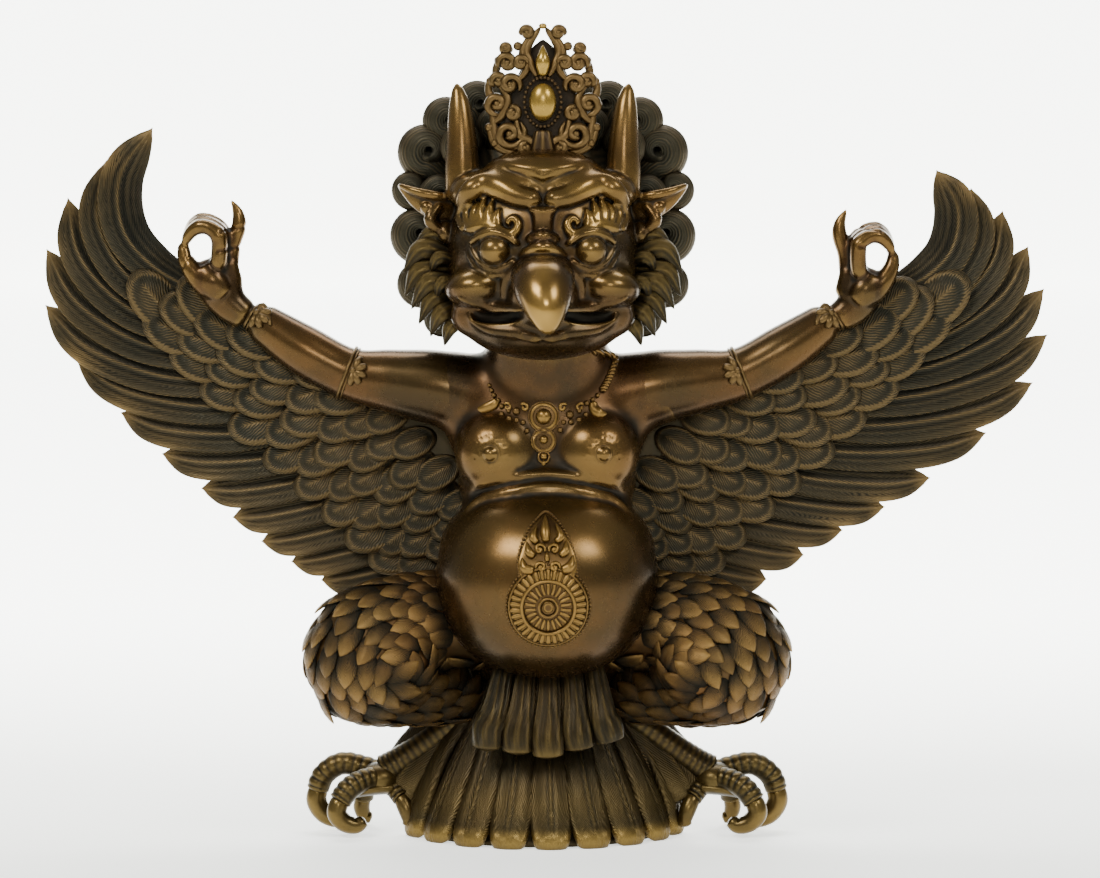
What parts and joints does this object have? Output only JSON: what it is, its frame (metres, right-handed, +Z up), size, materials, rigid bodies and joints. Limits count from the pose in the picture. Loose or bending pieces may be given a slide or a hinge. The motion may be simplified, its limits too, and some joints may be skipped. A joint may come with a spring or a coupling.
{
  "type": "statue_winged_guardian",
  "caption": "Cast bronze statue of a squatting, pot-bellied guardian with a bird's beak, spread feathered wings, taloned feet and a tail fan to stand on",
  "frame": {"origin": "Centre of the figure's bounding box, on the floor under the tail fan and the claws", "axes": "+X to the viewer's right along the wings, -Y out of the belly and beak towards the viewer, +Z up"},
  "size_m": [0.4458, 0.129, 0.3579],
  "materials": {
    "bronze": "dark brown patinated bronze, worn golden on the high points"
  },
  "bodies": {
    "root": {"winged_figure": "bronze"}
  },
  "joints": []
}
